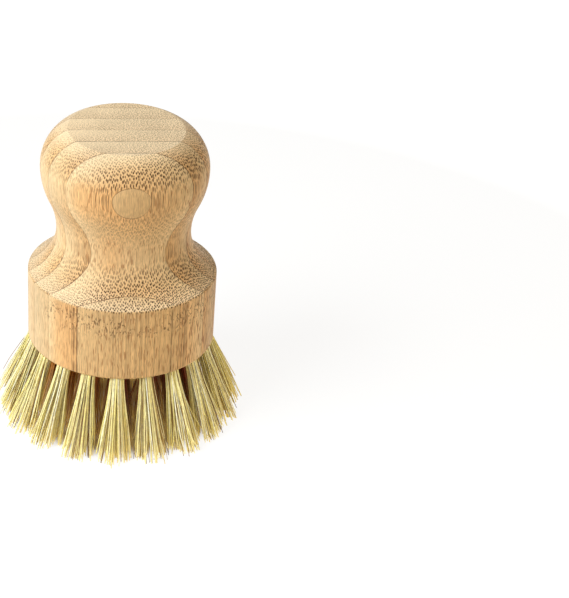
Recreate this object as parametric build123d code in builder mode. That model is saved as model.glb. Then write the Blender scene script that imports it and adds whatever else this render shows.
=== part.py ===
"""Palm brush: a knob turned from laminated bamboo, with tufts of plant fibre set in its base.

Millimetres, +Z up. The brush stands on its tufts, whose tips are cut level at z = 0, and
the block's turning axis is the Z axis. The front is -Y: there the front ply shows as a
round spot on the head, and the flat on the crown lies a little lower than at the back.
"""

import math
import os

from build123d import *

# Turned block: radii, and heights above its underside
base_radius = 27.5
base_height = 22.2
underside_round = 1.0
rim_round = 0.8
neck_radius = 19.4
neck_height = 34.9
head_radius = 24.0
head_height = 54.7
crown_radius = 13.2
swell_share = 0.5

# Flat sanded on the crown: how far below the crown's full height, and its tilt in degrees
flat_drop = 1.25
flat_tilt = 2.5

# Bamboo plies: their thickness, how far the first glue line lies in front of the axis, and
# the thinnest slice that the last ply may keep at the back
ply_thickness = 7.0
front_glue_line = 23.4
least_ply = 0.5

# Tufts: from the underside to the tips, and the depth that is cut off to stand level
tuft_length = 23.5
tip_cut = 0.5

# Blind hole, the wood between the outer holes and the base's side, and the folded bundle
# of fibres that fills each hole
hole_radius = 2.2
hole_depth = 9.0
hole_margin = 1.5
bundle_clearance = 0.05
bundle_proud = 1.2

# Rings of tufts: the outer ring's flare from roots to tips, the pitch along a ring at the
# roots, each ring's radius as a share of the outer ring's, and the front tufts' angle
outer_flare = 9.4
tuft_pitch = 7.8
ring_shares = {"outer_tuft": 1.0, "middle_tuft": 0.71, "inner_tuft": 0.38, "centre_tuft": 0.0}
front_tuft_turn = -7.0

# Flat steel anchor that each bundle is folded over; its ends bite into the hole's wall
anchor_bite = 0.4
anchor_height = 2.0
anchor_thickness = 0.4
anchor_clearance = 0.05
fold_thickness = 1.6

# Strands of one tuft: their width, how far they spread at the root, and at the tips along
# the ring and across it, with one strand in the middle and two circles around it
strand_width = 0.7
strand_tip_width = 1.1
root_spread = 3.2
tip_spread_along = 6.8
tip_spread_across = 5.6
circle_counts = (1, 3, 6)
circle_shares = (0.0, 0.5, 1.0)

underside = tuft_length
outer_root_radius = base_radius - hole_margin - hole_radius
outer_tip_radius = outer_root_radius + outer_flare
anchor_length = 2 * (hole_radius + anchor_bite)


def save(piece, name):
    """Label one finished piece and write it to its file."""
    piece.label = name
    export_step(piece, f"parts/{name}.step")


def ring_angles(ring_share):
    """Angles of a ring's tufts about the axis, from the front one."""
    count = max(1, round(2 * math.pi * ring_share * outer_root_radius / tuft_pitch))
    return [front_tuft_turn - 90 + number * 360 / count for number in range(count)]


def mouth_plane(ring_share):
    """Plane at a hole's mouth on the +X side: z runs up the hole and x along the ring."""
    lean = math.atan2(ring_share * outer_flare, tuft_length)
    mouth = (ring_share * outer_root_radius, 0, underside)
    return Plane(origin=mouth, x_dir=(0, 1, 0), z_dir=(-math.sin(lean), 0, math.cos(lean)))


def ring_locations(ring_share):
    """Places of a ring's holes, each at its mouth."""
    first = mouth_plane(ring_share).location
    return [Location((0, 0, 0), (0, 0, angle)) * first for angle in ring_angles(ring_share)]


def strand_places():
    """Places of one tuft's strands across and along the ring, as shares of their spread."""
    places = []
    for count, share in zip(circle_counts, circle_shares):
        for number in range(count):
            angle = 2 * math.pi * number / count
            places.append((share * math.cos(angle) / 2, share * math.sin(angle) / 2))
    return places


def make_strand(root, tip):
    """One straight strand of four sides, from the hole's mouth to below the cut."""
    with BuildPart() as strand:
        with BuildSketch(Plane.XY.offset(underside)):
            with Locations(root):
                Rectangle(strand_width, strand_width)
        with BuildSketch(Plane.XY.offset(-tip_cut)):
            with Locations(tip):
                Rectangle(strand_tip_width, strand_tip_width)
        loft(ruled=True)
    return strand.part


def make_tuft(ring_share):
    """A tuft on the +X side: its bundle, folded over the anchor's slot, and its strands."""
    strands = []
    for across, along in strand_places():
        root = (ring_share * outer_root_radius + across * root_spread, along * root_spread)
        tip = (ring_share * outer_tip_radius + across * tip_spread_across, along * tip_spread_along)
        strands.append(make_strand(root, tip))

    mouth = mouth_plane(ring_share)
    slot_height = anchor_height + 2 * anchor_clearance
    slot_start = hole_depth - fold_thickness - slot_height
    with BuildPart() as tuft:
        with BuildSketch(mouth.offset(-bundle_proud)):
            Circle(hole_radius - bundle_clearance)
        extrude(amount=hole_depth + bundle_proud)
        with BuildSketch(mouth.offset(slot_start)):
            Rectangle(anchor_length, anchor_thickness + 2 * anchor_clearance)
        extrude(amount=slot_height, mode=Mode.SUBTRACT)
        add(strands)
        split(bisect_by=Plane.XY, keep=Keep.TOP)
    return tuft.part


# Block as it is turned: a revolved outline with the flat sanded on the crown
with BuildPart() as block:
    with BuildSketch(Plane(origin=(0, 0, underside), x_dir=(1, 0, 0), z_dir=(0, -1, 0))):
        with BuildLine():
            neck = (neck_radius, neck_height)
            head = (head_radius, head_height)
            swell = (
                neck_radius + swell_share * (head_radius - neck_radius),
                neck_height + swell_share * (head_height - neck_height),
            )
            Polyline((0, head_height + crown_radius), (0, 0), (base_radius, 0), (base_radius, base_height))
            TangentArc(neck, (base_radius, base_height), tangent=(0, -1))
            TangentArc(neck, swell, tangent=(0, 1))
            TangentArc(head, swell, tangent=(0, -1))
            crown = JernArc(head, tangent=(0, 1), radius=crown_radius, arc_size=90)
            Line(crown @ 1, (0, head_height + crown_radius))
        make_face()
    revolve(axis=Axis.Z)
    rims = block.edges().filter_by(GeomType.CIRCLE)
    underside_rim = rims.sort_by_distance((base_radius, 0, underside))[0]
    shoulder_rim = rims.sort_by_distance((base_radius, 0, underside + base_height))[0]
    fillet(underside_rim, underside_round)
    fillet(shoulder_rim, rim_round)
    tilt = math.radians(flat_tilt)
    crown_top = underside + head_height + crown_radius
    flat = Plane(origin=(0, 0, crown_top - flat_drop), z_dir=(0, -math.sin(tilt), math.cos(tilt)))
    split(bisect_by=flat, keep=Keep.BOTTOM)

# Cutter of one hole, with the kerf that the anchor's ends leave in its wall
with BuildPart() as hole:
    overrun = hole_radius
    kerf_depth = hole_depth - fold_thickness
    with BuildSketch(Plane.XY.offset(-overrun)):
        Circle(hole_radius)
    extrude(amount=hole_depth + overrun)
    with BuildSketch(Plane.XY.offset(-overrun)):
        Rectangle(anchor_length + 2 * anchor_clearance, anchor_thickness + 2 * anchor_clearance)
    extrude(amount=kerf_depth + overrun)

# One anchor, at its place above a hole's mouth
with BuildPart() as anchor:
    with BuildSketch(Plane.XY.offset(kerf_depth - anchor_clearance - anchor_height)):
        Rectangle(anchor_length, anchor_thickness)
    extrude(amount=anchor_height)

hole_locations = []
for ring_share in ring_shares.values():
    hole_locations += ring_locations(ring_share)

with BuildPart() as drilled_block:
    add(block.part)
    with Locations(*hole_locations):
        add(hole.part, mode=Mode.SUBTRACT)

os.makedirs("parts", exist_ok=True)

# Plies: slices of the block between the glue lines. Where the neck is narrower than a
# ply's inner face, turning has parted the ply into a base piece and a head piece.
line_count = math.ceil((front_glue_line + base_radius - least_ply) / ply_thickness)
glue_lines = [number * ply_thickness - front_glue_line for number in range(line_count)]
slab_width = 4 * base_radius
slab_edges = [-slab_width / 2] + glue_lines + [slab_width / 2]
for number, (front, back) in enumerate(zip(slab_edges, slab_edges[1:]), start=1):
    with BuildPart() as ply:
        add(drilled_block.part)
        with BuildSketch(Plane.XY):
            with Locations((0, (front + back) / 2)):
                Rectangle(slab_width, back - front)
        extrude(amount=crown_top, mode=Mode.INTERSECT)
    slices = ply.part.solids().sort_by(Axis.Z)
    endings = ("_base", "_head") if len(slices) > 1 else ("",)
    for piece, ending in zip(slices, endings):
        save(piece, f"ply_{number}{ending}")

# Tufts: one is made for each ring and turned to each place
for name, ring_share in ring_shares.items():
    tuft = make_tuft(ring_share)
    angles = ring_angles(ring_share)
    for number, angle in enumerate(angles, start=1):
        save(tuft.rotate(Axis.Z, angle), f"{name}_{number}" if len(angles) > 1 else name)

with BuildPart() as tuft_anchors:
    with Locations(*hole_locations):
        add(anchor.part)
save(tuft_anchors.part, "tuft_anchors")
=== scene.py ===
"""Palm brush: a turned knob of laminated bamboo with flared tufts of plant fibre.

Metres, +Z up. The brush stands on its tufts at z = 0, its turning axis is the Z axis, and
its front is -Y. The plies keep their modelled shape and get the bamboo finish, and each
tuft is rebuilt fibre by fibre on the place of its own node.
"""

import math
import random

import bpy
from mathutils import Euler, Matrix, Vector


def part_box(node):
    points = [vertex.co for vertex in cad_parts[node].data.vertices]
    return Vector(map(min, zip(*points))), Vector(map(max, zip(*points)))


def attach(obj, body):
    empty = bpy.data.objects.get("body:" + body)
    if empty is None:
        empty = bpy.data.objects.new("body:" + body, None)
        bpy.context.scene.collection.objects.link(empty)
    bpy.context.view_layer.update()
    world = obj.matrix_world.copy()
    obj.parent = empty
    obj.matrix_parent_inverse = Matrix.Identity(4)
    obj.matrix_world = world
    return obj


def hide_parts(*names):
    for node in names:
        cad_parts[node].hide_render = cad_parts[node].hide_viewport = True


bl_info = {
    "name": "Palm Brush",
    "version": (1, 0, 0),
    "blender": (4, 5, 0),
    "location": "View3D > Sidebar > Palm Brush",
    "description": "Finishes the bamboo, plants the fibres and sets the studio for a palm brush",
    "category": "Object",
}

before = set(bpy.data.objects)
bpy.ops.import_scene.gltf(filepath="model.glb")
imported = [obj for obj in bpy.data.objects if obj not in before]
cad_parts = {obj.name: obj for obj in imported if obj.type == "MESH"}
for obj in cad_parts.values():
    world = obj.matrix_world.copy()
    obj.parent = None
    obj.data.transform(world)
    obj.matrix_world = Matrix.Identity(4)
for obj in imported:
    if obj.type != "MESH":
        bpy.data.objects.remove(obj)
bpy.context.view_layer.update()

MM = 0.001


def paint(red, green, blue):
    """A colour as it is seen, 0 to 255, as the linear values that the sockets take."""
    linear = []
    for seen in (red / 255, green / 255, blue / 255):
        linear.append(seen / 12.92 if seen <= 0.04045 else ((seen + 0.055) / 1.055) ** 2.4)
    return tuple(linear)


# Places on the block where the bamboo's look changes: each pair fades from its first place to
# its second, along X on the sides and along Y and Z on the crown's flat
LEFT_SIDE = (-12.0 * MM, -21.0 * MM)
RIGHT_SIDE = (10.0 * MM, 20.0 * MM)
BLUSHING_SIDE = (1.0 * MM, -6.0 * MM)
PITS_START = (-24.0 * MM, -21.0 * MM)
DOTS_GROW = (6.0 * MM, 18.0 * MM)
OUTER_DOTS_DARKEN = (-20.0 * MM, -7.0 * MM)
INNER_DOTS_DARKEN = (-12.0 * MM, 6.0 * MM)
FLAT_BACK = (-7.0 * MM, -4.0 * MM)
FLAT_HEIGHT = (86.0 * MM, 89.0 * MM)
PATCH_ABOVE = 58.0 * MM

# Range over which the front ply goes from its outer to its inner side, in plies from the
# first glue line
FRONT_PLY_RANGE = (-0.62, 0.35)

# Parts of a surface, told by how far it faces up: 0 on a wall and 1 on a level face
WALL_SLOPES = (0.1, 0.5)
STREAKED_SLOPES = (0.05, 0.5)
END_GRAIN_SLOPES = (0.55, 1.0)
UNDERSIDE_SLOPES = (-0.2, 0.1)

# How far each pattern is drawn out along the fibres: the share of its scale left along Z
SWAY_SQUEEZE = 0.08
GRAIN_SQUEEZE = 0.09
DASH_SQUEEZE = 0.1
PIT_SQUEEZE = 0.5
CLOUD_SQUEEZE = 0.5

# Noises by scale and detail, and marks by scale, detail, the range of the noise over which
# they come up, and how faint they get outside it
SWAY_SCALE = 160.0
GRAIN_NOISE = (4200.0, 3.0)
CLOUD_NOISE = (95.0, 3.0)
NOISE_RANGE = (0.3, 0.7)
DASHES = (2900.0, 1.0, 0.55, 0.66)
SPECKS = (2000.0, 1.0, 0.54, 0.63)
PIT_PATCHES = (170.0, 2.0, 0.3, 0.46)
VEIN_BREAKS = (260.0, 1.0, 0.35, 0.6, 0.25)
GLUE_BREAKS = (190.0, 2.0, 0.38, 0.58, 0.4)

# Fibre bundles: how far their rows sway, how unevenly they stand, their radius at a ply's
# outer and inner side and the blur of their rim in shares of their spacing, and their shades
BUNDLE_SWAY = (0.6 * MM, 0.4 * MM, 0.0)
BUNDLE_SCATTER = 0.58
FRONT_PLY_WIDENING = 0.35
DOT_RADII = (0.34, 0.31)
DOT_GROWTH = 0.01
DOT_BLUR_OUTSIDE = 0.10
DOT_BLUR_INSIDE = 0.08
DOT_SHADES = (0.7, 1.0)
OUTER_DOTS_LEFT = 0.72
INNER_DOTS_LEFT = 0.45
INNER_DOTS_FROM = 0.9
DOTS_ON_FLAT = 0.6
STREAK_DEPTHS = (0.68, 0.26)
STREAK_DEPTHS_UP_TO = 0.4
UNDERSIDE_DOTS = 0.5

# Dark veins on the base's front, with their place along X and their half width; how far they
# sway, the half width of their dark core, and how far back and how high they reach
VEINS = ((-15.3 * MM, 0.4 * MM), (-14.5 * MM, 0.3 * MM), (12.2 * MM, 0.4 * MM))
VEIN_SWAY = 1.6 * MM
VEIN_CORE = 0.1 * MM
VEINS_BACK_TO = -15.0 * MM
VEINS_UP_TO = 45.0 * MM

# Glue lines and pits: how far a line reaches from its middle in shares of its width, the least
# sine at which it crosses a surface, the share of the pits' reach in which they are dense, and
# what is left of them at the left edge
GLUE_SPREAD = 0.8
LEAST_CROSSING = 0.2
PITS_CORE = 0.4
PITS_LEFT = 0.15

# How much fainter marks are on the patch, the flat, the front ply, the left wall and any wall
PATCH_DOTS_FADE = 0.7
PATCH_DASHES_FADE = 0.8
FLAT_GLUE_FADE = 0.45
FRONT_STREAKS_FADE = 0.5
LEFT_STREAKS_FADE = 0.5
LEFT_DASHES_FADE = 0.4
WALL_GLUE_FADE = 0.3

# How strongly each mark and tone shows in the wood
FRONT_PLY_TONE = 0.8
PATCH_STAIN = 0.11
BLUSH_TONE = 0.6
BLUSH_INNER_SIDE = 0.25
PALE_TONE = 0.55
END_GRAIN_TONE = 0.7
PLY_TINTS = (0.95, 1.04)
CLOUD_TINTS = (0.93, 1.05)
GRAIN_TINTS = (0.79, 1.12)
DASH_DEPTH = 0.55
DASH_DEPTH_RIGHT = 0.35
PIT_DEPTH = 0.64
VEIN_DEPTH = 0.62
BUNDLE_DEPTH = 0.97
GLUE_DEPTH = 0.95

# Finish of the wood: gloss, roughness of the dark marks, and relief
WOOD_GLOSS = 0.16
MARK_ROUGHNESS = 0.7
RELIEF_STRENGTH = 0.35
RELIEF_DEPTH = 0.06 * MM
GLUE_RELIEF = 1.5

# Fibre shades by their place in the range of random draws: the darkest two stops give thin dark
# strands that are painted shadow between the fibres, the rest the fibre's own tone; where the
# inner tufts' painted shade turns to its lighter, lit colour at the left, the share of a root's
# reach that has it in full, and the finish of the fibre
FIBRE_TONES_AND_PAINTED_GAPS = (
    (0.00, paint(84, 50, 18)),
    (0.11, paint(160, 118, 58)),
    (0.18, paint(248, 226, 152)),
    (0.45, paint(255, 244, 184)),
    (0.72, paint(252, 236, 142)),
    (1.00, paint(255, 252, 226)),
)
PAINTED_SHADE_TURNS_LEFT = (-1.0 * MM, -15.0 * MM)
ROOT_CORE = 0.2
FIBRE_NOISE = 900.0
FIBRE_TINTS = (0.86, 1.06)
DRIEST_ROUGHNESS = 0.65

# Steel strip: scratches by scale and detail, their two colours and roughness
SCRATCH_NOISE = (1500.0, 3.0)
SCRATCH_RANGE = (0.2, 0.8)
STEEL_COLOURS = (paint(150, 150, 152), paint(186, 186, 188))
STEEL_ROUGHNESS = (0.3, 0.5)

# One fibre: the level up to which it stands in the hole, the levels of its rings, its sides,
# the digits that a level is told by, and how much thinner its tip is
ROOT_LEVEL = 0.14
FIBRE_LEVELS = (ROOT_LEVEL, 0.26, 0.40, 0.55, 0.70, 0.85, 1.0)
FIBRE_SIDES = 5
LEVEL_DIGITS = 4
TIP_TAPER = 0.25

# How the fibres of a tuft vary, as shares of the tuft's size or of the fibre's own
MOUTH_FILL = 0.97
CLUMP_PULL = (0.15, 0.6)
TIP_SCATTER = 0.09
STRAY_SHARE = 0.08
STRAY_SCATTER = 0.3
STRAY_CURL = 0.22
PLAIN_CURL = 0.06
SIDEWAYS_CURL = 0.05
LEAVING_UPRIGHT = 0.55
LEAVING_SPREAD = (0.9, 1.1)
THICKNESS_SPREAD = (0.7, 1.25)
# Share of fibres drawn in the darkest shades, and how much thinner they are: thin dark strands that
# are painted shadow between the fibres
PAINTED_GAP_SHARE = 0.15
PAINTED_GAP_THINNESS = 0.62
TIP_CLEARANCE = 0.3

# Lamps: azimuth to the right of the front and elevation in degrees, distance, width, colour
LAMP_TARGET = (0.0, 0.0, 45.0 * MM)
KEY_LAMP = (-62.0, 42.0, 450.0 * MM, 260.0 * MM, (0.81, 0.89, 1.0))
FILL_LAMP = (55.0, 8.0, 500.0 * MM, 400.0 * MM, (1.0, 0.86, 0.62))
AMBIENT_COLOUR = (1.0, 0.91, 0.78)
WHITE = (1.0, 1.0, 1.0)

# Floor: its size and finish, and the distances from the axis over which it is lifted towards
# white for the camera outside the tufts, turns fully white, and stops glowing
FLOOR_RADIUS = 2.5
FLOOR_COLOUR = (0.9, 0.87, 0.8)
FLOOR_WHITE = 1.12
BOUNCE_COLOUR = paint(255, 236, 196)
SHADOW_RIM = (27.0 * MM, 34.0 * MM)
SHADOW_LIFT = 0.78
ALL_WHITE = (110.0 * MM, 260.0 * MM)
GLOW_RIM = (38.0 * MM, 60.0 * MM)


def length(name, description, default):
    """A property that holds a length in metres."""
    return bpy.props.FloatProperty(
        name=name,
        description=description,
        default=default,
        precision=5,
        subtype="DISTANCE",
        unit="LENGTH",
    )


def share(name, description, default):
    """A property that holds a share from 0 to 1."""
    return bpy.props.FloatProperty(
        name=name, description=description, default=default, min=0.0, max=1.0, subtype="FACTOR"
    )


def number(name, description, default):
    """A property that holds a plain number."""
    return bpy.props.FloatProperty(name=name, description=description, default=default)


def count(name, description, default):
    """A property that holds a whole number."""
    return bpy.props.IntProperty(name=name, description=description, default=default, min=1)


def angle(name, description, degrees):
    """A property that holds an angle, given in degrees."""
    return bpy.props.FloatProperty(
        name=name,
        description=description,
        default=math.radians(degrees),
        subtype="ANGLE",
        unit="ROTATION",
    )


def colour(name, description, default):
    """A property that holds a colour."""
    return bpy.props.FloatVectorProperty(
        name=name,
        description=description,
        default=default,
        size=3,
        min=0.0,
        max=1.0,
        subtype="COLOR",
    )


class BambooProperties(bpy.types.PropertyGroup):
    """Finish of the laminated bamboo."""

    ply_thickness: length("Ply Thickness", "Distance from one glue line to the next", 7.0 * MM)
    first_glue_line: length("First Glue Line", "Place of the front glue line along Y", -23.4 * MM)
    glue_width: length("Glue Line Width", "Width of the dark line between two plies", 0.27 * MM)
    spacing_along: length("Spacing Along", "Distance between the bundles of a row", 0.82 * MM)
    spacing_across: length("Spacing Across", "Distance from a row to the next but one", 0.78 * MM)
    pale: colour("Pale Wood", "Wood on the inner side of a ply", paint(236, 203, 152))
    warm: colour("Warm Wood", "Wood on the outer side of a ply", paint(225, 178, 120))
    front: colour("Front Ply", "Wood of the front ply", paint(223, 181, 124))
    blush: colour("Blush", "Warm wood on walls along a ply's outer side", paint(226, 168, 104))
    end_grain: colour("End Grain", "Wood cut across the fibres", paint(255, 228, 184))
    bundle: colour("Bundle", "Dark ends of the fibre bundles, pits and veins", paint(52, 22, 3))
    streak: colour("Streak", "Bundles that run under the wall's surface", paint(140, 80, 34))
    glue: colour("Glue Line", "Line between two plies", paint(82, 44, 16))
    pitted_height: length("Pitted Height", "Height of the pits in the base's wall", 40.8 * MM)
    pitted_reach: length("Pitted Reach", "How far pits reach above and below that", 5.0 * MM)
    roughness: share("Roughness", "Roughness of the sanded wood", 0.46)


class FibreProperties(bpy.types.PropertyGroup):
    """Shape and finish of the plant fibres."""

    fibres: count("Fibres per Tuft", "Fibre ends in each tuft", 135)
    thickness: length("Fibre Thickness", "Thickness of an average fibre", 0.35 * MM)
    mouth_radius: length("Bundle Radius", "Radius that the fibres fill at the mouth", 2.0 * MM)
    underside: length("Underside Height", "Height of the wood's underside", 23.5 * MM)
    rooted: length("Rooted Length", "Length of each fibre inside the hole", 5.0 * MM)
    spread_along: length("Spread Along", "Half width of a tuft's tips along the ring", 5.3 * MM)
    spread_across: length("Spread Across", "Half width of a tuft's tips across the ring", 4.3 * MM)
    unevenness: length("Tip Unevenness", "How much shorter the shortest fibres are", 2.6 * MM)
    clumps: count("Clumps", "Groups that the fibres of a tuft gather in", 11)
    seed: count("Seed", "Start of the random draws", 7)
    outer_root: colour("Outer Roots", "Roots in the outer ring", paint(226, 208, 146))
    outer_reach: number("Outer Root Reach", "Share of a fibre that its root's colour reaches", 0.05)
    # Painted shade on the inner tufts' fibres, which stand in the outer ring's shadow: deep at the
    # right, lighter where lit at the left, and reaching over most of each fibre's length
    painted_inner_shade: colour("Inner Painted Shade", "Shaded roots behind the outer ring", paint(146, 44, 14))
    painted_inner_shade_left: colour("Inner Painted Shade Left", "The same at the left", paint(212, 130, 30))
    painted_inner_shade_reach: number("Inner Painted Shade Reach", "Share of a fibre that its root's colour reaches", 1.3)
    roughness: share("Roughness", "Roughness of the dry fibre", 0.5)


class StageProperties(bpy.types.PropertyGroup):
    """Camera, lamps and floor."""

    camera_x: length("Camera X", "Place of the camera across the brush", -35.1 * MM)
    camera_y: length("Camera Y", "Place of the camera in front of the brush", -418.5 * MM)
    camera_z: length("Camera Z", "Height of the camera above the floor", 275.5 * MM)
    camera_pitch: angle("Camera Pitch", "How far the camera looks down", 29.55)
    camera_heading: angle("Camera Heading", "How far the camera looks to the right of +Y", 11.35)
    camera_roll: angle("Camera Roll", "How far the camera is rolled", 4.7)
    lens: number("Lens", "Focal length in millimetres on a 36 mm sensor", 97.9)
    key_power: number("Key Lamp", "Power of the cool lamp at the upper left, in watts", 2.55)
    fill_power: number("Fill Lamp", "Power of the warm, low lamp at the right, in watts", 0.88)
    ambience: number("Ambient Light", "Strength of the light from all round", 0.27)
    glow: number("Floor Glow", "Strength of the light that the floor gives the tufts", 0.65)


def settings():
    """The scene's values for the brush."""
    return bpy.context.scene.palm_brush


def deselect():
    """Leaves nothing selected, so that an operator acts only on what is chosen next."""
    bpy.ops.object.select_all(action="DESELECT")


def new_tree(name, inputs, outputs):
    """A shader node group with named sockets; returns its tree, its input and output nodes."""
    tree = bpy.data.node_groups.new(name, "ShaderNodeTree")
    for socket, kind in inputs:
        tree.interface.new_socket(name=socket, in_out="INPUT", socket_type=kind)
    for socket, kind in outputs:
        tree.interface.new_socket(name=socket, in_out="OUTPUT", socket_type=kind)
    return tree, tree.nodes.new("NodeGroupInput"), tree.nodes.new("NodeGroupOutput")


def new_material(name):
    """A plain material; returns it with its tree and its shader."""
    material = bpy.data.materials.new(name)
    material.use_nodes = True
    return material, material.node_tree, material.node_tree.nodes["Principled BSDF"]


def feed(tree, socket, value):
    """Links a socket to another one, or sets it to a number, a vector or a colour."""
    if isinstance(value, bpy.types.NodeSocket):
        tree.links.new(value, socket)
    elif hasattr(value, "__len__") and socket.type == "RGBA":
        socket.default_value = (*value, 1.0)
    else:
        socket.default_value = value


def calc(tree, operation, *values):
    """A Math node; returns its output."""
    made = tree.nodes.new("ShaderNodeMath")
    made.operation = operation
    for socket, value in zip(made.inputs, values):
        feed(tree, socket, value)
    return made.outputs[0]


def product(tree, first, *others):
    """A product of two or more values; returns its output."""
    for other in others:
        first = calc(tree, "MULTIPLY", first, other)
    return first


def dimmed(tree, value, mask, amount):
    """A value that a mask takes down, by a share of it where the mask is 1; its output."""
    return product(tree, value, calc(tree, "SUBTRACT", 1.0, product(tree, mask, amount)))


def vector_calc(tree, operation, *values):
    """A Vector Math node; returns its output."""
    made = tree.nodes.new("ShaderNodeVectorMath")
    made.operation = operation
    for socket, value in zip(made.inputs, values):
        feed(tree, socket, value)
    return made.outputs["Value" if operation == "LENGTH" else "Vector"]


def axes(tree, vector):
    """The X, Y and Z of a vector, as three outputs."""
    made = tree.nodes.new("ShaderNodeSeparateXYZ")
    feed(tree, made.inputs[0], vector)
    return tuple(made.outputs)


def combine(tree, x, y, z):
    """A vector from three values; returns its output."""
    made = tree.nodes.new("ShaderNodeCombineXYZ")
    for socket, value in zip(made.inputs, (x, y, z)):
        feed(tree, socket, value)
    return made.outputs[0]


def blend(tree, factor, first, second, mode="MIX"):
    """A colour mix; returns its output."""
    made = tree.nodes.new("ShaderNodeMix")
    made.data_type = "RGBA"
    made.blend_type = mode
    feed(tree, made.inputs["Factor"], factor)
    feed(tree, made.inputs[6], first)
    feed(tree, made.inputs[7], second)
    return made.outputs[2]


def tinted(tree, seen, tint):
    """A colour times a grey tint; returns its output."""
    return blend(tree, 1.0, seen, combine(tree, tint, tint, tint), "MULTIPLY")


def ramp(tree, value, low, high, start=0.0, end=1.0):
    """A smooth step from start at low to end at high; returns its output."""
    made = tree.nodes.new("ShaderNodeMapRange")
    made.interpolation_type = "SMOOTHSTEP"
    feed(tree, made.inputs["Value"], value)
    feed(tree, made.inputs["From Min"], low)
    feed(tree, made.inputs["From Max"], high)
    feed(tree, made.inputs["To Min"], start)
    feed(tree, made.inputs["To Max"], end)
    return made.outputs["Result"]


def noise(tree, vector, scale, detail=2.0, output="Fac"):
    """A noise texture; returns one of its outputs."""
    made = tree.nodes.new("ShaderNodeTexNoise")
    made.inputs["Scale"].default_value = scale
    made.inputs["Detail"].default_value = detail
    feed(tree, made.inputs["Vector"], vector)
    return made.outputs[output]


def marks(tree, vector, scale, detail, low, high, faintest=0.0):
    """Mask of the places where a noise goes from low to high; returns its output."""
    return ramp(tree, noise(tree, vector, scale, detail), low, high, faintest, 1.0)


def squeezed(tree, place, along_fibres):
    """A place whose Z is squeezed, which draws a pattern out along the fibres; its output."""
    x, y, z = place
    return combine(tree, x, y, product(tree, z, along_fibres))


def bundle_dots(tree, given, x, inner_side, is_front, sway):
    """Mask of the fibre bundles' ends, which are staggered from one row to the next."""
    wander = vector_calc(tree, "MULTIPLY_ADD", sway, BUNDLE_SWAY, given["Position"])
    wider = calc(tree, "ADD", 1.0, product(tree, is_front, FRONT_PLY_WIDENING))
    row_spacing = product(tree, given["Spacing Across"], wider)
    spacing = combine(tree, given["Spacing Along"], row_spacing, 1.0)
    along, across, _ = axes(tree, vector_calc(tree, "DIVIDE", wander, spacing))
    staggered = combine(
        tree, calc(tree, "ADD", along, across), calc(tree, "SUBTRACT", along, across), 0.0
    )
    bundles = tree.nodes.new("ShaderNodeTexVoronoi")
    bundles.voronoi_dimensions = "2D"
    bundles.inputs["Scale"].default_value = 1.0
    bundles.inputs["Randomness"].default_value = BUNDLE_SCATTER
    feed(tree, bundles.inputs["Vector"], staggered)
    grown = ramp(tree, x, *DOTS_GROW, 0.0, DOT_GROWTH)
    radius = calc(tree, "ADD", ramp(tree, inner_side, 0.0, 1.0, *DOT_RADII), grown)
    rim = calc(tree, "ADD", radius, DOT_BLUR_OUTSIDE)
    core = calc(tree, "SUBTRACT", radius, DOT_BLUR_INSIDE)
    dots = ramp(tree, bundles.outputs["Distance"], rim, core)
    own = tree.nodes.new("ShaderNodeSeparateColor")
    feed(tree, own.inputs[0], bundles.outputs["Color"])
    return product(tree, dots, ramp(tree, own.outputs[0], 0.0, 1.0, *DOT_SHADES))


def bundle_depth(tree, x, z, inner_side, patch):
    """How dark the bundles are: fainter at the left, on the crown's flat and on the patch."""
    outer_depth = ramp(tree, x, *OUTER_DOTS_DARKEN, OUTER_DOTS_LEFT, 1.0)
    inner_depth = ramp(tree, x, *INNER_DOTS_DARKEN, INNER_DOTS_LEFT, 1.0)
    depth = ramp(tree, inner_side, 0.0, INNER_DOTS_FROM, outer_depth, inner_depth)
    depth = product(tree, depth, ramp(tree, z, *FLAT_HEIGHT, 1.0, DOTS_ON_FLAT))
    return dimmed(tree, depth, patch, PATCH_DOTS_FADE)


def pit_mask(tree, given, place):
    """Mask of the pits, in patches where the bundles slant through the base's wall."""
    x, _, z = place
    specks = marks(tree, squeezed(tree, place, PIT_SQUEEZE), *SPECKS)
    away = calc(tree, "ABSOLUTE", calc(tree, "SUBTRACT", z, given["Pitted Height"]))
    reach = given["Pitted Reach"]
    nearby = ramp(tree, away, reach, product(tree, reach, PITS_CORE))
    patchy = marks(tree, given["Position"], *PIT_PATCHES)
    return product(tree, specks, nearby, patchy, ramp(tree, x, *PITS_START, PITS_LEFT, 1.0))


def vein_mask(tree, given, place, sway):
    """Mask of the dark veins that run down the base's front, broken here and there."""
    x, y, z = place
    swing = product(tree, calc(tree, "SUBTRACT", axes(tree, sway)[0], 0.5), VEIN_SWAY)
    swung = calc(tree, "ADD", x, swing)
    veins = 0.0
    for vein, width in VEINS:
        off = calc(tree, "ABSOLUTE", calc(tree, "SUBTRACT", swung, vein))
        veins = calc(tree, "MAXIMUM", veins, ramp(tree, off, width, VEIN_CORE))
    in_front = calc(tree, "LESS_THAN", y, VEINS_BACK_TO)
    on_base = calc(tree, "LESS_THAN", z, VEINS_UP_TO)
    broken = marks(tree, given["Position"], *VEIN_BREAKS)
    return product(tree, veins, in_front, on_base, broken)


def glue_mask(tree, given, place, inside):
    """Mask of the glue lines, of one width at any slope, which come and go."""
    _, y, z = place
    edge = calc(tree, "MINIMUM", inside, calc(tree, "SUBTRACT", 1.0, inside))
    edge = calc(tree, "DIVIDE", product(tree, edge, given["Ply Thickness"]), given["Crossing"])
    line = ramp(tree, edge, product(tree, given["Glue Width"], GLUE_SPREAD), 0.0)
    visible = marks(tree, given["Position"], *GLUE_BREAKS)
    on_flat = product(tree, ramp(tree, z, *FLAT_HEIGHT), ramp(tree, y, *FLAT_BACK))
    return product(tree, line, dimmed(tree, visible, on_flat, FLAT_GLUE_FADE))


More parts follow.
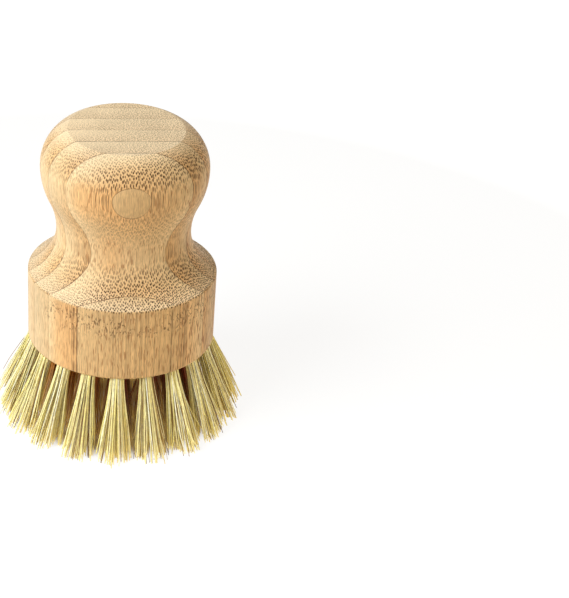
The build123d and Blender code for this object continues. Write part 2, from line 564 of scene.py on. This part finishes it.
GRAIN_INPUTS = (
    "Ply Thickness",
    "First Glue Line",
    "Glue Width",
    "Crossing",
    "Spacing Along",
    "Spacing Across",
    "Pitted Height",
    "Pitted Reach",
)
GRAIN_MASKS = (
    "Bundles",
    "Dashes",
    "Pits",
    "Veins",
    "Grain",
    "Cloud",
    "Glue",
    "Inner Side",
    "Front Ply",
    "Patch",
    "Ply Shade",
    "Blush",
    "Left Side",
    "Pale Side",
    "Right Side",
)


def grain_group():
    """Group that gives the masks of the bamboo's marks, and of the places that look different."""
    tree, group_input, result = new_tree(
        "bamboo grain",
        [("Position", "NodeSocketVector"), *((name, "NodeSocketFloat") for name in GRAIN_INPUTS)],
        [(name, "NodeSocketFloat") for name in GRAIN_MASKS],
    )
    given = group_input.outputs
    place = axes(tree, given["Position"])
    x, y, z = place

    # Place across the ply: 0 at its outer side, which faces the front, and 1 at its inner side
    from_front = calc(tree, "SUBTRACT", y, given["First Glue Line"])
    across = calc(tree, "DIVIDE", from_front, given["Ply Thickness"])
    ply = calc(tree, "FLOOR", across)
    inside = calc(tree, "SUBTRACT", across, ply)
    is_front = calc(tree, "LESS_THAN", across, 0.0)
    is_other = calc(tree, "SUBTRACT", 1.0, is_front)
    front_inside = product(tree, is_front, ramp(tree, across, *FRONT_PLY_RANGE))
    inner_side = calc(tree, "ADD", front_inside, product(tree, is_other, inside))
    ply_shade = tree.nodes.new("ShaderNodeTexWhiteNoise")
    ply_shade.noise_dimensions = "1D"
    feed(tree, ply_shade.inputs["W"], ply)

    # Fibre bundles stand upright in the culm, so they show as dots on slopes and as streaks on
    # walls; turning has left the front ply's patch on the head
    sway = noise(tree, squeezed(tree, place, SWAY_SQUEEZE), SWAY_SCALE, output="Color")
    patch = product(tree, is_front, calc(tree, "GREATER_THAN", z, PATCH_ABOVE))
    dots = bundle_dots(tree, given, x, inner_side, is_front, sway)
    dots = product(tree, dots, bundle_depth(tree, x, z, inner_side, patch))
    dashes = marks(tree, squeezed(tree, place, DASH_SQUEEZE), *DASHES)

    # The left is paler behind the front two plies, which blush towards their outer side
    left_side = ramp(tree, x, *LEFT_SIDE)
    is_behind = calc(tree, "GREATER_THAN", across, 1.0)
    at_left = product(tree, ramp(tree, x, *BLUSHING_SIDE), calc(tree, "LESS_THAN", across, 1.0))
    outwards = ramp(tree, inner_side, 0.5, 1.0, 1.0, BLUSH_INNER_SIDE)

    masks = {
        "Bundles": dots,
        "Dashes": dimmed(tree, dashes, patch, PATCH_DASHES_FADE),
        "Pits": pit_mask(tree, given, place),
        "Veins": vein_mask(tree, given, place, sway),
        "Grain": noise(tree, squeezed(tree, place, GRAIN_SQUEEZE), *GRAIN_NOISE),
        "Cloud": noise(tree, squeezed(tree, place, CLOUD_SQUEEZE), *CLOUD_NOISE),
        "Glue": glue_mask(tree, given, place, inside),
        "Inner Side": inner_side,
        "Front Ply": is_front,
        "Patch": patch,
        "Ply Shade": ply_shade.outputs["Value"],
        "Blush": product(tree, outwards, at_left, is_other),
        "Left Side": left_side,
        "Pale Side": product(tree, left_side, is_behind),
        "Right Side": ramp(tree, x, *RIGHT_SIDE),
    }
    for name in GRAIN_MASKS:
        feed(tree, result.inputs[name], masks[name])
    return tree


def place_grain(tree, position, crossing, values):
    """The grain group in a material, with the bamboo's own values; returns its outputs."""
    made = tree.nodes.new("ShaderNodeGroup")
    made.node_tree = grain_group()
    feed(tree, made.inputs["Position"], position)
    feed(tree, made.inputs["Crossing"], crossing)
    feed(tree, made.inputs["Ply Thickness"], values.ply_thickness)
    feed(tree, made.inputs["First Glue Line"], values.first_glue_line)
    feed(tree, made.inputs["Glue Width"], values.glue_width)
    feed(tree, made.inputs["Spacing Along"], values.spacing_along)
    feed(tree, made.inputs["Spacing Across"], values.spacing_across)
    feed(tree, made.inputs["Pitted Height"], values.pitted_height)
    feed(tree, made.inputs["Pitted Reach"], values.pitted_reach)
    return made.outputs


def plain_wood(tree, grain, slope, on_wall, values):
    """Colour of the wood without its dark marks; returns its output."""
    wood = blend(tree, grain["Inner Side"], values.warm, values.pale)
    wood = blend(tree, product(tree, grain["Front Ply"], FRONT_PLY_TONE), wood, values.front)
    wood = blend(tree, product(tree, grain["Patch"], PATCH_STAIN), wood, values.glue)
    wood = blend(tree, product(tree, grain["Blush"], on_wall, BLUSH_TONE), wood, values.blush)
    wood = blend(tree, product(tree, grain["Pale Side"], on_wall, PALE_TONE), wood, values.pale)
    wood = tinted(tree, wood, ramp(tree, grain["Ply Shade"], 0.0, 1.0, *PLY_TINTS))
    end_grain = product(tree, ramp(tree, slope, *END_GRAIN_SLOPES), END_GRAIN_TONE)
    wood = blend(tree, end_grain, wood, values.end_grain)
    wood = tinted(tree, wood, ramp(tree, grain["Cloud"], *NOISE_RANGE, *CLOUD_TINTS))
    return tinted(tree, wood, ramp(tree, grain["Grain"], *NOISE_RANGE, *GRAIN_TINTS))


def dark_bundles(tree, grain, slope, upward, on_wall, left_wall):
    """Depth of the dots and of what they leave on walls: streaks, pits and veins; its output."""
    streaked = ramp(tree, grain["Inner Side"], 0.0, STREAK_DEPTHS_UP_TO, *STREAK_DEPTHS)
    streaked = dimmed(tree, streaked, grain["Front Ply"], FRONT_STREAKS_FADE)
    streaked = dimmed(tree, streaked, left_wall, LEFT_STREAKS_FADE)
    depth = ramp(tree, slope, *STREAKED_SLOPES, streaked, 1.0)
    depth = product(tree, depth, ramp(tree, upward, *UNDERSIDE_SLOPES, UNDERSIDE_DOTS, 1.0))
    bundles = product(tree, grain["Bundles"], depth)
    bundles = calc(tree, "MAXIMUM", bundles, product(tree, grain["Pits"], on_wall, PIT_DEPTH))
    return calc(tree, "MAXIMUM", bundles, product(tree, grain["Veins"], VEIN_DEPTH))


def bamboo_material(values):
    """Sanded bamboo plies, from a pattern that is cut through the whole block."""
    material, tree, shader = new_material("laminated bamboo")
    place = tree.nodes.new("ShaderNodeTexCoord")
    _, forward, upward = axes(tree, place.outputs["Normal"])
    slope = calc(tree, "ABSOLUTE", upward)
    on_wall = ramp(tree, slope, *WALL_SLOPES, 1.0, 0.0)

    # Sine of the angle at which the glue's planes cross the surface, which keeps their lines at
    # one width
    turned = calc(tree, "SUBTRACT", 1.0, calc(tree, "POWER", calc(tree, "ABSOLUTE", forward), 2.0))
    crossing = calc(tree, "SQRT", calc(tree, "MAXIMUM", turned, LEAST_CROSSING**2))
    grain = place_grain(tree, place.outputs["Object"], crossing, values)
    left_wall = product(tree, grain["Left Side"], on_wall)

    dash_depth = product(tree, grain["Right Side"], DASH_DEPTH_RIGHT)
    dash_depth = calc(tree, "ADD", dash_depth, DASH_DEPTH)
    dashes = product(tree, grain["Dashes"], on_wall, dash_depth)
    dashes = dimmed(tree, dashes, left_wall, LEFT_DASHES_FADE)
    bundles = dark_bundles(tree, grain, slope, upward, on_wall, left_wall)
    faded = product(tree, calc(tree, "ADD", on_wall, left_wall), WALL_GLUE_FADE)
    glue = product(tree, grain["Glue"], calc(tree, "SUBTRACT", GLUE_DEPTH, faded))

    wood = plain_wood(tree, grain, slope, on_wall, values)
    wood = blend(tree, dashes, wood, values.streak)
    wood = blend(tree, product(tree, bundles, BUNDLE_DEPTH), wood, values.bundle)
    wood = blend(tree, glue, wood, values.glue)
    feed(tree, shader.inputs["Base Color"], wood)
    roughness = ramp(tree, bundles, 0.0, 1.0, values.roughness, MARK_ROUGHNESS)
    feed(tree, shader.inputs["Roughness"], roughness)
    shader.inputs["Specular IOR Level"].default_value = WOOD_GLOSS

    sunk = calc(tree, "ADD", bundles, product(tree, glue, GLUE_RELIEF))
    relief = tree.nodes.new("ShaderNodeBump")
    relief.inputs["Strength"].default_value = RELIEF_STRENGTH
    relief.inputs["Distance"].default_value = RELIEF_DEPTH
    feed(tree, relief.inputs["Height"], calc(tree, "SUBTRACT", 1.0, sunk))
    feed(tree, shader.inputs["Normal"], relief.outputs[0])
    return material


def fibre_group():
    """Group that gives a fibre's colour from its own shade and the place along it: the darkest
    shades are painted shadow between fibres, and the inner tufts' roots take painted shade.
    """
    tree, given, result = new_tree(
        "fibre colour",
        [
            ("Shade", "NodeSocketFloat"),
            ("Along", "NodeSocketFloat"),
            ("Root", "NodeSocketColor"),
            ("Root Reach", "NodeSocketFloat"),
        ],
        [("Color", "NodeSocketColor")],
    )
    shades = tree.nodes.new("ShaderNodeValToRGB")
    shades.color_ramp.interpolation = "LINEAR"
    stops = shades.color_ramp.elements
    for number_of_stop, (position, seen) in enumerate(FIBRE_TONES_AND_PAINTED_GAPS):
        stop = stops[number_of_stop] if number_of_stop < 2 else stops.new(position)
        stop.position = position
        stop.color = (*seen, 1.0)
    feed(tree, shades.inputs[0], given.outputs["Shade"])
    reach = given.outputs["Root Reach"]
    core = product(tree, reach, ROOT_CORE)
    rooted = ramp(tree, given.outputs["Along"], core, reach, 1.0, 0.0)
    seen = blend(tree, rooted, shades.outputs[0], given.outputs["Root"])
    feed(tree, result.inputs["Color"], seen)
    return tree


def fibre_material(name, group, root, root_left, root_reach, values):
    """Dry plant fibre, with a colour towards the root, one at the right and one at the left; in the
    inner tufts it is painted shade, deep at the right and lit at the left.
    """
    material, tree, shader = new_material(name)
    place = tree.nodes.new("ShaderNodeTexCoord").outputs["Object"]
    # Where the inner tufts' painted shade turns from deep at the right to lighter, lit, at the left
    painted_shade_turning_left = ramp(tree, axes(tree, place)[0], *PAINTED_SHADE_TURNS_LEFT)
    made = tree.nodes.new("ShaderNodeGroup")
    made.node_tree = group
    for socket, attribute in (("Shade", "shade"), ("Along", "along")):
        own = tree.nodes.new("ShaderNodeAttribute")
        own.attribute_name = attribute
        feed(tree, made.inputs[socket], own.outputs["Fac"])
    feed(tree, made.inputs["Root"], blend(tree, painted_shade_turning_left, root, root_left))
    feed(tree, made.inputs["Root Reach"], root_reach)
    speckle = noise(tree, place, FIBRE_NOISE)
    tint = ramp(tree, speckle, *NOISE_RANGE, *FIBRE_TINTS)
    feed(tree, shader.inputs["Base Color"], tinted(tree, made.outputs["Color"], tint))
    roughness = ramp(tree, speckle, *NOISE_RANGE, values.roughness, DRIEST_ROUGHNESS)
    feed(tree, shader.inputs["Roughness"], roughness)
    return material


def steel_material():
    """Rolled steel strip of the anchors."""
    material, tree, shader = new_material("anchor steel")
    place = tree.nodes.new("ShaderNodeTexCoord")
    scratches = noise(tree, place.outputs["Object"], *SCRATCH_NOISE)
    feed(tree, shader.inputs["Base Color"], blend(tree, scratches, *STEEL_COLOURS))
    roughness = ramp(tree, scratches, *SCRATCH_RANGE, *STEEL_ROUGHNESS)
    feed(tree, shader.inputs["Roughness"], roughness)
    shader.inputs["Metallic"].default_value = 1.0
    return material


def dress(piece, material):
    """Gives a piece one material."""
    piece.data.materials.clear()
    piece.data.materials.append(material)


def fibre_pattern():
    """One straight fibre of unit thickness and length, made by extruding its root end."""
    deselect()
    bpy.ops.mesh.primitive_circle_add(
        vertices=FIBRE_SIDES, radius=0.5, fill_type="NGON", location=(0, 0, 0)
    )
    pattern = bpy.context.active_object
    pattern.name = "fibre_pattern"
    bpy.ops.object.mode_set(mode="EDIT")
    below = 0.0
    for level in FIBRE_LEVELS:
        bpy.ops.mesh.extrude_region_move(TRANSFORM_OT_translate={"value": (0, 0, level - below)})
        below = level
    bpy.ops.mesh.select_all(action="SELECT")
    bpy.ops.mesh.normals_make_consistent(inside=False)
    bpy.ops.object.mode_set(mode="OBJECT")
    bpy.ops.object.shade_smooth_by_angle(angle=math.radians(80))
    return pattern


def level_of(vertex):
    """The level of a pattern's vertex."""
    return round(vertex.co.z, LEVEL_DIGITS)


def tuft_frame(node, underside):
    """A tuft's mouth, tip centre and axis up its hole, and directions across and along its ring."""
    points = [vertex.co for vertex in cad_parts[node].data.vertices]
    low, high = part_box(node)
    band = 0.5 * MM
    tips = [point for point in points if point.z < low.z + band]
    tops = [point for point in points if point.z > high.z - band]
    tip = sum(tips, Vector()) / len(tips)
    top = sum(tops, Vector()) / len(tops)
    tip.z = 0.0
    up = (top - tip).normalized()
    mouth = tip + up * ((underside - tip.z) / up.z)
    across = Vector((tip.x, tip.y, 0.0))
    across = across.normalized() if across.length > MM else Vector((1.0, 0.0, 0.0))
    along = Vector((-across.y, across.x, 0.0))
    return mouth, tip, up, across, along


def disc_point(draw):
    """A random point of the unit disc."""
    reach = math.sqrt(draw.random())
    turn = draw.uniform(0, 2 * math.pi)
    return reach * math.cos(turn), reach * math.sin(turn)


def fibre_line(start, mouth, leave, tip, arrive, steps):
    """Points of a fibre's line at the pattern's levels: straight in the hole, curved below it."""
    line = []
    for level in steps:
        if level <= ROOT_LEVEL:
            line.append(start.lerp(mouth, level / ROOT_LEVEL))
            continue
        t = (level - ROOT_LEVEL) / (1 - ROOT_LEVEL)
        line.append(
            mouth * (2 * t**3 - 3 * t**2 + 1)
            + leave * (t**3 - 2 * t**2 + t)
            + tip * (3 * t**2 - 2 * t**3)
            + arrive * (t**3 - t**2)
        )
    return line


def grow_fibre(pattern, name, steps, line, thickness, shade):
    """A copy of the pattern, laid along a line, with its shade and its levels as attributes."""
    mesh = pattern.data.copy()
    heading = (line[-1] - line[0]).normalized()
    side = heading.orthogonal().normalized()
    other = heading.cross(side)
    places = dict(zip(steps, line))
    along = mesh.attributes.new("along", "FLOAT", "POINT")
    tone = mesh.attributes.new("shade", "FLOAT", "POINT")
    for vertex in mesh.vertices:
        level = level_of(vertex)
        width = thickness * (1 - TIP_TAPER * level)
        along.data[vertex.index].value = level
        tone.data[vertex.index].value = shade
        vertex.co = places[level] + (side * vertex.co.x + other * vertex.co.y) * width
    fibre = bpy.data.objects.new(name, mesh)
    bpy.context.collection.objects.link(fibre)
    return fibre


def plant_tuft(node, pattern, steps, values, material, draw):
    """All fibres of one tuft, joined into one piece that stands for its node."""
    mouth, tip, up, across, along = tuft_frame(node, values.underside)
    clumps = [disc_point(draw) for _ in range(values.clumps)]
    lean = (tip - mouth).length
    fibres = []
    for number_of_fibre in range(values.fibres):
        # Place at the mouth and at the tips, drawn to the nearest clump; a few fibres stray
        a, b = disc_point(draw)
        near = min(clumps, key=lambda clump: (clump[0] - a) ** 2 + (clump[1] - b) ** 2)
        pull = draw.uniform(*CLUMP_PULL)
        tip_a = a + (near[0] - a) * pull + draw.gauss(0, TIP_SCATTER)
        tip_b = b + (near[1] - b) * pull + draw.gauss(0, TIP_SCATTER)
        curl = PLAIN_CURL
        if draw.random() < STRAY_SHARE:
            tip_a += draw.gauss(0, STRAY_SCATTER)
            tip_b += draw.gauss(0, STRAY_SCATTER)
            curl = STRAY_CURL
        root = mouth + (across * a + along * b) * values.mouth_radius * MOUTH_FILL
        start = root + up * values.rooted
        end = tip + across * tip_a * values.spread_across + along * tip_b * values.spread_along
        end.z = TIP_CLEARANCE * values.thickness + values.unevenness * draw.random() ** 3

        # Directions at the mouth and at the tip, and the fibre's own thickness and shade
        way = end - root
        leave = -up * LEAVING_UPRIGHT * lean + way * (1 - LEAVING_UPRIGHT)
        leave *= draw.uniform(*LEAVING_SPREAD)
        swing = across * draw.gauss(0, SIDEWAYS_CURL) + along * draw.gauss(0, curl)
        line = fibre_line(start, root, leave, end, way + swing * lean, steps)
        thickness = values.thickness * draw.uniform(*THICKNESS_SPREAD)
        shade = draw.random()
        # The darkest fibres are made thin: dark strands painted where shadow falls between the
        # fibres
        if shade < PAINTED_GAP_SHARE:
            thickness *= PAINTED_GAP_THINNESS
        name = f"fibre_{number_of_fibre}"
        fibres.append(grow_fibre(pattern, name, steps, line, thickness, shade))
    deselect()
    for fibre in fibres:
        fibre.select_set(True)
    tuft = fibres[0]
    bpy.context.view_layer.objects.active = tuft
    bpy.ops.object.join()
    tuft.name = f"{node}_fibres"
    tuft.data.name = tuft.name
    dress(tuft, material)
    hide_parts(node)
    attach(tuft, "root")


def seen_by_camera(tree, light):
    """Mask of the rays that show a surface to the camera, straight or by glass and gloss."""
    seen = calc(tree, "MAXIMUM", light.outputs["Is Camera Ray"], light.outputs["Is Glossy Ray"])
    return calc(tree, "MAXIMUM", seen, light.outputs["Is Transmission Ray"])


def mixed_shader(tree, factor, first, second):
    """A mix of two shaders; returns its output."""
    made = tree.nodes.new("ShaderNodeMixShader")
    for socket, value in zip(made.inputs, (factor, first, second)):
        feed(tree, socket, value)
    return made.outputs[0]


def make_floor(glow):
    """Pale floor, white to the camera except for the shadow, and clear from below."""
    deselect()
    bpy.ops.mesh.primitive_circle_add(
        vertices=96, radius=FLOOR_RADIUS, fill_type="NGON", location=(0, 0, 0)
    )
    floor = bpy.context.active_object
    floor.name = "floor"
    material, tree, shader = new_material("white floor")
    shader.inputs["Base Color"].default_value = (*FLOOR_COLOUR, 1.0)
    shader.inputs["Roughness"].default_value = 0.9
    shader.inputs["Specular IOR Level"].default_value = 0.0
    light = tree.nodes.new("ShaderNodeLightPath")
    away = vector_calc(tree, "LENGTH", tree.nodes.new("ShaderNodeTexCoord").outputs["Object"])

    white = tree.nodes.new("ShaderNodeEmission")
    white.inputs["Color"].default_value = (*WHITE, 1.0)
    white.inputs["Strength"].default_value = FLOOR_WHITE
    outside = ramp(tree, away, *SHADOW_RIM, 0.0, SHADOW_LIFT)
    outside = calc(tree, "MAXIMUM", outside, ramp(tree, away, *ALL_WHITE))
    whitened = product(tree, seen_by_camera(tree, light), outside)
    lifted = mixed_shader(tree, whitened, shader.outputs[0], white.outputs[0])

    bounce = tree.nodes.new("ShaderNodeEmission")
    bounce.inputs["Color"].default_value = (*BOUNCE_COLOUR, 1.0)
    close = ramp(tree, away, *GLOW_RIM, glow, 0.0)
    feed(tree, bounce.inputs["Strength"], product(tree, close, light.outputs["Is Diffuse Ray"]))
    glowing = tree.nodes.new("ShaderNodeAddShader")
    feed(tree, glowing.inputs[0], lifted)
    feed(tree, glowing.inputs[1], bounce.outputs[0])

    below = tree.nodes.new("ShaderNodeNewGeometry").outputs["Backfacing"]
    clear = tree.nodes.new("ShaderNodeBsdfTransparent")
    surface = mixed_shader(tree, below, glowing.outputs[0], clear.outputs[0])
    feed(tree, tree.nodes["Material Output"].inputs["Surface"], surface)
    dress(floor, material)


def make_surroundings(ambience):
    """White all round to the camera and in reflections, and an even light for the rest."""
    world = bpy.data.worlds.new("surroundings")
    world.use_nodes = True
    bpy.context.scene.world = world
    tree = world.node_tree
    seen = seen_by_camera(tree, tree.nodes.new("ShaderNodeLightPath"))
    background = tree.nodes["Background"]
    feed(tree, background.inputs["Color"], blend(tree, seen, AMBIENT_COLOUR, WHITE))
    strength = calc(tree, "ADD", product(tree, seen, 1.0 - ambience), ambience)
    feed(tree, background.inputs["Strength"], strength)


def add_lamp(name, power, azimuth, elevation, distance, width, tone):
    """A square lamp of a power and a tone that looks at the brush from a place round it."""
    lamp = bpy.data.lights.new(name, "AREA")
    lamp.energy = power
    lamp.color = tone
    lamp.size = width
    around, above = math.radians(azimuth), math.radians(elevation)
    level = math.cos(above)
    back = Vector((math.sin(around) * level, -math.cos(around) * level, math.sin(above)))
    placed = bpy.data.objects.new(name, lamp)
    placed.location = Vector(LAMP_TARGET) + back * distance
    placed.rotation_euler = (-back).to_track_quat("-Z", "Y").to_euler()
    bpy.context.collection.objects.link(placed)


def make_camera(values):
    """Camera at the photographed angle, above the front and a little to the left."""
    lens = bpy.data.cameras.new("camera")
    lens.lens = values.lens
    lens.clip_start = 10.0 * MM
    camera = bpy.data.objects.new("camera", lens)
    camera.location = (values.camera_x, values.camera_y, values.camera_z)
    pitch = math.pi / 2 - values.camera_pitch
    heading = Euler((pitch, 0.0, -values.camera_heading), "XYZ").to_matrix()
    roll = Euler((0.0, 0.0, values.camera_roll), "XYZ").to_matrix()
    camera.rotation_euler = (heading @ roll).to_euler()
    bpy.context.collection.objects.link(camera)
    bpy.context.scene.camera = camera


class PALMBRUSH_OT_bamboo(bpy.types.Operator):
    """Finish the plies as sanded laminated bamboo"""

    bl_idname = "palm_brush.bamboo"
    bl_label = "Finish Bamboo Plies"

    def execute(self, context):
        plies = [piece for name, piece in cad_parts.items() if name.startswith("ply_")]
        if not plies:
            raise RuntimeError("the frame has no plies")
        material = bamboo_material(settings().bamboo)
        for ply in plies:
            dress(ply, material)
        return {"FINISHED"}


class PALMBRUSH_OT_anchors(bpy.types.Operator):
    """Finish the anchors as rolled steel strip"""

    bl_idname = "palm_brush.anchors"
    bl_label = "Finish Anchors"

    def execute(self, context):
        dress(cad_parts["tuft_anchors"], steel_material())
        return {"FINISHED"}


class PALMBRUSH_OT_tufts(bpy.types.Operator):
    """Plant every tuft fibre by fibre"""

    bl_idname = "palm_brush.tufts"
    bl_label = "Plant Fibre Tufts"

    def execute(self, context):
        values = settings().fibre
        tufts = sorted(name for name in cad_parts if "tuft" in name and name != "tuft_anchors")
        if not tufts:
            raise RuntimeError("the frame has no tufts")
        group = fibre_group()
        outer_roots = (values.outer_root, values.outer_root, values.outer_reach)
        # The inner tufts' roots and much of their length take painted shade, deep at the right and
        # lighter at the left
        painted_inner_shades = (values.painted_inner_shade, values.painted_inner_shade_left, values.painted_inner_shade_reach)
        outer = fibre_material("outer fibres", group, *outer_roots, values)
        inner = fibre_material("inner fibres", group, *painted_inner_shades, values)
        pattern = fibre_pattern()
        steps = sorted({level_of(vertex) for vertex in pattern.data.vertices})
        for place, node in enumerate(tufts):
            draw = random.Random(values.seed * 1000 + place)
            material = outer if node.startswith("outer") else inner
            plant_tuft(node, pattern, steps, values, material, draw)
        bpy.data.objects.remove(pattern)
        return {"FINISHED"}


class PALMBRUSH_OT_stage(bpy.types.Operator):
    """Set the floor, the lamps, the surroundings and the camera"""

    bl_idname = "palm_brush.stage"
    bl_label = "Set Stage"

    def execute(self, context):
        values = settings().stage
        make_floor(values.glow)
        make_surroundings(values.ambience)
        add_lamp("key lamp", values.key_power, *KEY_LAMP)
        add_lamp("fill lamp", values.fill_power, *FILL_LAMP)
        make_camera(values)
        context.scene.view_settings.view_transform = "Standard"
        return {"FINISHED"}


class PalmBrushProperties(bpy.types.PropertyGroup):
    """All values of the brush and its stage."""

    bamboo: bpy.props.PointerProperty(
        name="Bamboo", description="Finish of the bamboo", type=BambooProperties
    )
    fibre: bpy.props.PointerProperty(
        name="Fibre", description="Fibres of the tufts", type=FibreProperties
    )
    stage: bpy.props.PointerProperty(
        name="Stage", description="Camera, lamps and floor", type=StageProperties
    )


OPERATORS = (PALMBRUSH_OT_bamboo, PALMBRUSH_OT_anchors, PALMBRUSH_OT_tufts, PALMBRUSH_OT_stage)


class PALMBRUSH_PT_sidebar(bpy.types.Panel):
    """Sidebar panel of the palm brush"""

    bl_idname = "PALMBRUSH_PT_sidebar"
    bl_label = "Palm Brush"
    bl_space_type = "VIEW_3D"
    bl_region_type = "UI"
    bl_category = "Palm Brush"

    def draw(self, context):
        for operator in OPERATORS:
            self.layout.operator(operator.bl_idname)
        brush = settings()
        headed = (("Bamboo", brush.bamboo), ("Fibre", brush.fibre), ("Stage", brush.stage))
        for heading, group in headed:
            box = self.layout.box()
            box.label(text=heading)
            for name in group.__annotations__:
                box.prop(group, name)


CLASSES = (
    BambooProperties,
    FibreProperties,
    StageProperties,
    PalmBrushProperties,
    *OPERATORS,
    PALMBRUSH_PT_sidebar,
)


def register():
    """Registers the classes and the scene's values."""
    for made in CLASSES:
        bpy.utils.register_class(made)
    bpy.types.Scene.palm_brush = bpy.props.PointerProperty(type=PalmBrushProperties)


def unregister():
    """Takes the scene's values and the classes away again."""
    del bpy.types.Scene.palm_brush
    for made in reversed(CLASSES):
        bpy.utils.unregister_class(made)


def main():
    """Builds the brush and its stage."""
    register()
    bpy.ops.palm_brush.bamboo()
    bpy.ops.palm_brush.anchors()
    bpy.ops.palm_brush.tufts()
    bpy.ops.palm_brush.stage()


if __name__ == "__main__":
    main()
